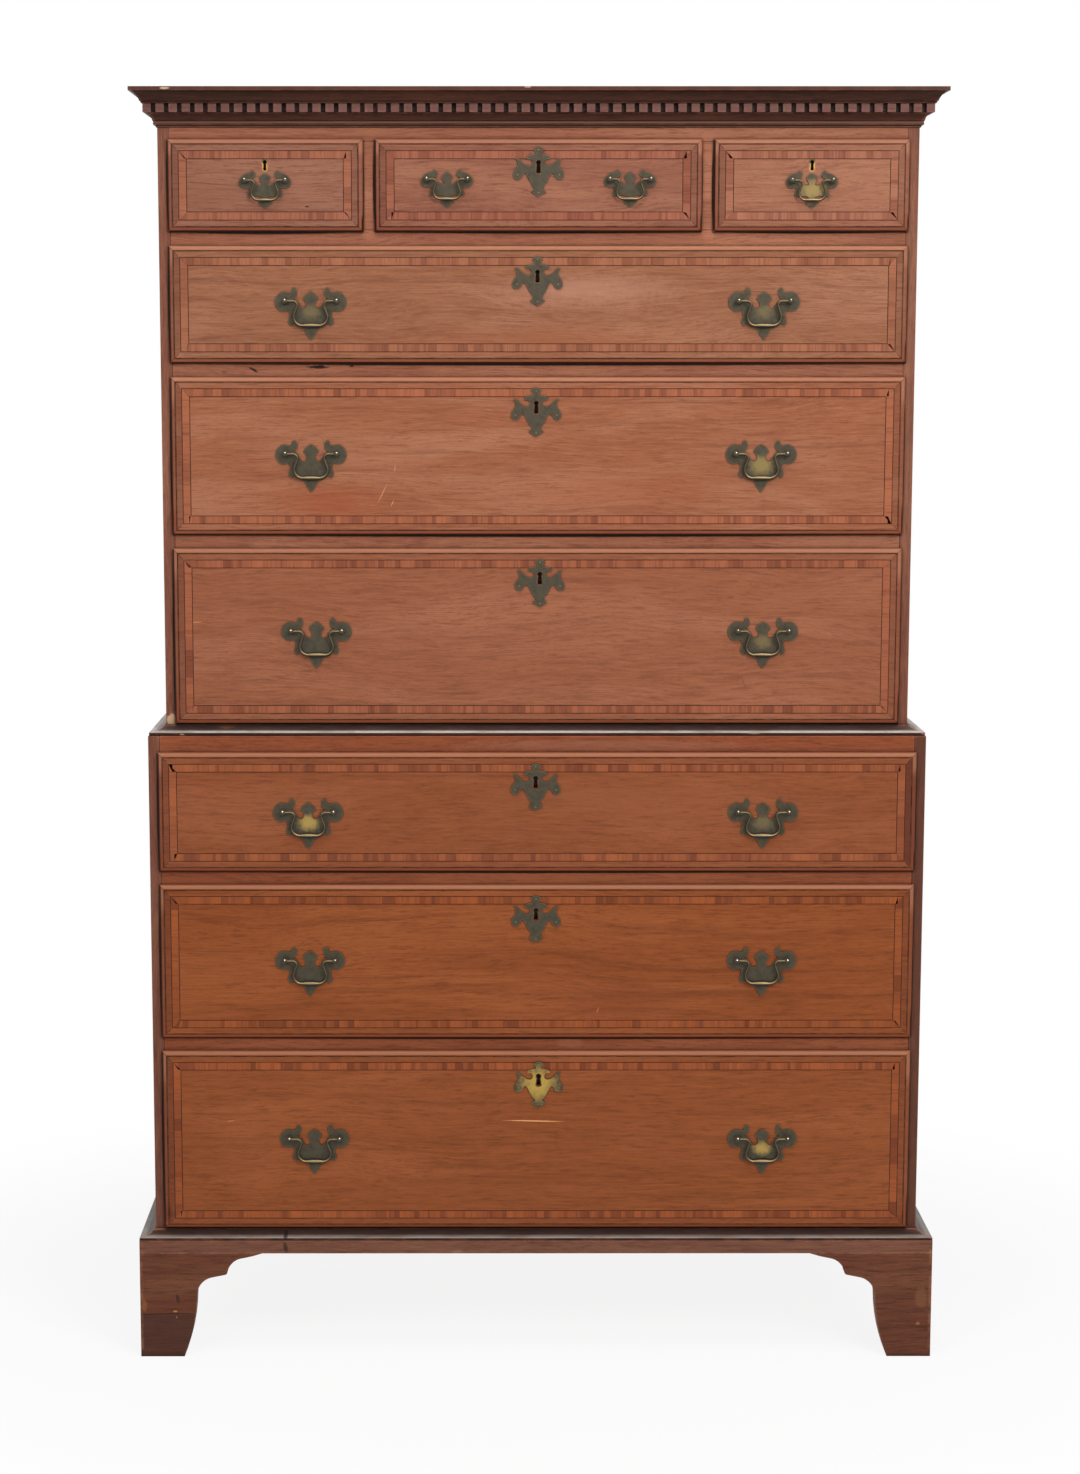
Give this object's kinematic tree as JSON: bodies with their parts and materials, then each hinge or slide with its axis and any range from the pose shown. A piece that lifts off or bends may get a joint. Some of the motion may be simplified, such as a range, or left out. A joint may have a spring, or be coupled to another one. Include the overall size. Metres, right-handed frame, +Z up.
{
  "type": "chest on chest",
  "caption": "Two-part mahogany chest of drawers on bracket feet, with lip-moulded crossbanded drawers, swan-neck brass bails, a dentil cornice and mitred mouldings.",
  "frame": {"origin": "middle of the base's footprint, on the floor", "axes": "+Z up, +X to the right as seen by someone facing the drawers, drawers pull out towards -Y"},
  "size_m": [1.162, 0.555, 1.831],
  "materials": {
    "mahogany": "waxed",
    "oak": "planed",
    "pine": "planed",
    "brass": "toned dark by age"
  },
  "bodies": {
    "case": {"base_frame": "mahogany", "base_moulding": "mahogany", "bracket_feet": "mahogany", "cornice": "mahogany", "dentil_strips": "mahogany", "foot_blocks": "pine", "lower_back_boards": "pine", "lower_rails": "mahogany", "lower_runners": "pine", "lower_sides": "mahogany", "lower_top_and_bottom": "pine", "upper_back_boards": "pine", "upper_rails": "mahogany", "upper_runners_and_partitions": "pine", "upper_sides": "mahogany", "upper_top_and_bottom": "pine", "waist_moulding": "mahogany"},
    "top_left_drawer": {"top_left_drawer_front": "mahogany", "top_left_drawer_box": "oak", "top_left_drawer_brasses": "brass"},
    "top_left_bail": {"top_left_drawer_bail": "brass"},
    "top_middle_drawer": {"top_middle_drawer_front": "mahogany", "top_middle_drawer_box": "oak", "top_middle_drawer_brasses": "brass"},
    "top_middle_left_bail": {"top_middle_drawer_left_bail": "brass"},
    "top_middle_right_bail": {"top_middle_drawer_right_bail": "brass"},
    "top_right_drawer": {"top_right_drawer_front": "mahogany", "top_right_drawer_box": "oak", "top_right_drawer_brasses": "brass"},
    "top_right_bail": {"top_right_drawer_bail": "brass"},
    "upper_1_drawer": {"upper_1_drawer_front": "mahogany", "upper_1_drawer_box": "oak", "upper_1_drawer_brasses": "brass"},
    "upper_1_left_bail": {"upper_1_drawer_left_bail": "brass"},
    "upper_1_right_bail": {"upper_1_drawer_right_bail": "brass"},
    "upper_2_drawer": {"upper_2_drawer_front": "mahogany", "upper_2_drawer_box": "oak", "upper_2_drawer_brasses": "brass"},
    "upper_2_left_bail": {"upper_2_drawer_left_bail": "brass"},
    "upper_2_right_bail": {"upper_2_drawer_right_bail": "brass"},
    "upper_3_drawer": {"upper_3_drawer_front": "mahogany", "upper_3_drawer_box": "oak", "upper_3_drawer_brasses": "brass"},
    "upper_3_left_bail": {"upper_3_drawer_left_bail": "brass"},
    "upper_3_right_bail": {"upper_3_drawer_right_bail": "brass"},
    "lower_1_drawer": {"lower_1_drawer_front": "mahogany", "lower_1_drawer_box": "oak", "lower_1_drawer_brasses": "brass"},
    "lower_1_left_bail": {"lower_1_drawer_left_bail": "brass"},
    "lower_1_right_bail": {"lower_1_drawer_right_bail": "brass"},
    "lower_2_drawer": {"lower_2_drawer_front": "mahogany", "lower_2_drawer_box": "oak", "lower_2_drawer_brasses": "brass"},
    "lower_2_left_bail": {"lower_2_drawer_left_bail": "brass"},
    "lower_2_right_bail": {"lower_2_drawer_right_bail": "brass"},
    "lower_3_drawer": {"lower_3_drawer_front": "mahogany", "lower_3_drawer_box": "oak", "lower_3_drawer_brasses": "brass"},
    "lower_3_left_bail": {"lower_3_drawer_left_bail": "brass"},
    "lower_3_right_bail": {"lower_3_drawer_right_bail": "brass"}
  },
  "joints": [
    {"name": "top_left_drawer_slide", "type": "slide", "parent": "case", "child": "top_left_drawer", "axis": [0, -1, 0], "range_m": [0, 0.38]},
    {"name": "top_left_bail_hinge", "type": "hinge", "parent": "top_left_drawer", "child": "top_left_bail", "pos_m": [-0.38385, -0.2491, 1.70355], "axis": [-1, 0, 0], "range_deg": [0, 190]},
    {"name": "top_middle_drawer_slide", "type": "slide", "parent": "case", "child": "top_middle_drawer", "axis": [0, -1, 0], "range_m": [0, 0.38]},
    {"name": "top_middle_left_bail_hinge", "type": "hinge", "parent": "top_middle_drawer", "child": "top_middle_left_bail", "pos_m": [-0.1285, -0.2491, 1.70505], "axis": [-1, 0, 0], "range_deg": [0, 190]},
    {"name": "top_middle_right_bail_hinge", "type": "hinge", "parent": "top_middle_drawer", "child": "top_middle_right_bail", "pos_m": [0.1285, -0.2491, 1.70505], "axis": [-1, 0, 0], "range_deg": [0, 190]},
    {"name": "top_right_drawer_slide", "type": "slide", "parent": "case", "child": "top_right_drawer", "axis": [0, -1, 0], "range_m": [0, 0.38]},
    {"name": "top_right_bail_hinge", "type": "hinge", "parent": "top_right_drawer", "child": "top_right_bail", "pos_m": [0.38385, -0.2491, 1.70355], "axis": [-1, 0, 0], "range_deg": [0, 190]},
    {"name": "upper_1_drawer_slide", "type": "slide", "parent": "case", "child": "upper_1_drawer", "axis": [0, -1, 0], "range_m": [0, 0.38]},
    {"name": "upper_1_left_bail_hinge", "type": "hinge", "parent": "upper_1_drawer", "child": "upper_1_left_bail", "pos_m": [-0.321, -0.2491, 1.53645], "axis": [-1, 0, 0], "range_deg": [0, 190]},
    {"name": "upper_1_right_bail_hinge", "type": "hinge", "parent": "upper_1_drawer", "child": "upper_1_right_bail", "pos_m": [0.319, -0.2491, 1.53645], "axis": [-1, 0, 0], "range_deg": [0, 190]},
    {"name": "upper_2_drawer_slide", "type": "slide", "parent": "case", "child": "upper_2_drawer", "axis": [0, -1, 0], "range_m": [0, 0.38]},
    {"name": "upper_2_left_bail_hinge", "type": "hinge", "parent": "upper_2_drawer", "child": "upper_2_left_bail", "pos_m": [-0.3223, -0.2491, 1.322], "axis": [-1, 0, 0], "range_deg": [0, 190]},
    {"name": "upper_2_right_bail_hinge", "type": "hinge", "parent": "upper_2_drawer", "child": "upper_2_right_bail", "pos_m": [0.3177, -0.2491, 1.322], "axis": [-1, 0, 0], "range_deg": [0, 190]},
    {"name": "upper_3_drawer_slide", "type": "slide", "parent": "case", "child": "upper_3_drawer", "axis": [0, -1, 0], "range_m": [0, 0.38]},
    {"name": "upper_3_left_bail_hinge", "type": "hinge", "parent": "upper_3_drawer", "child": "upper_3_left_bail", "pos_m": [-0.3165, -0.2491, 1.06925], "axis": [-1, 0, 0], "range_deg": [0, 190]},
    {"name": "upper_3_right_bail_hinge", "type": "hinge", "parent": "upper_3_drawer", "child": "upper_3_right_bail", "pos_m": [0.3235, -0.2491, 1.06925], "axis": [-1, 0, 0], "range_deg": [0, 190]},
    {"name": "lower_1_drawer_slide", "type": "slide", "parent": "case", "child": "lower_1_drawer", "axis": [0, -1, 0], "range_m": [0, 0.38]},
    {"name": "lower_1_left_bail_hinge", "type": "hinge", "parent": "lower_1_drawer", "child": "lower_1_left_bail", "pos_m": [-0.3292, -0.2731, 0.8105], "axis": [-1, 0, 0], "range_deg": [0, 190]},
    {"name": "lower_1_right_bail_hinge", "type": "hinge", "parent": "lower_1_drawer", "child": "lower_1_right_bail", "pos_m": [0.3248, -0.2731, 0.8105], "axis": [-1, 0, 0], "range_deg": [0, 190]},
    {"name": "lower_2_drawer_slide", "type": "slide", "parent": "case", "child": "lower_2_drawer", "axis": [0, -1, 0], "range_m": [0, 0.38]},
    {"name": "lower_2_left_bail_hinge", "type": "hinge", "parent": "lower_2_drawer", "child": "lower_2_left_bail", "pos_m": [-0.3282, -0.2731, 0.5931], "axis": [-1, 0, 0], "range_deg": [0, 190]},
    {"name": "lower_2_right_bail_hinge", "type": "hinge", "parent": "lower_2_drawer", "child": "lower_2_right_bail", "pos_m": [0.3258, -0.2731, 0.5931], "axis": [-1, 0, 0], "range_deg": [0, 190]},
    {"name": "lower_3_drawer_slide", "type": "slide", "parent": "case", "child": "lower_3_drawer", "axis": [0, -1, 0], "range_m": [0, 0.38]},
    {"name": "lower_3_left_bail_hinge", "type": "hinge", "parent": "lower_3_drawer", "child": "lower_3_left_bail", "pos_m": [-0.3238, -0.2731, 0.3275], "axis": [-1, 0, 0], "range_deg": [0, 190]},
    {"name": "lower_3_right_bail_hinge", "type": "hinge", "parent": "lower_3_drawer", "child": "lower_3_right_bail", "pos_m": [0.3302, -0.2731, 0.3275], "axis": [-1, 0, 0], "range_deg": [0, 190]}
  ]
}
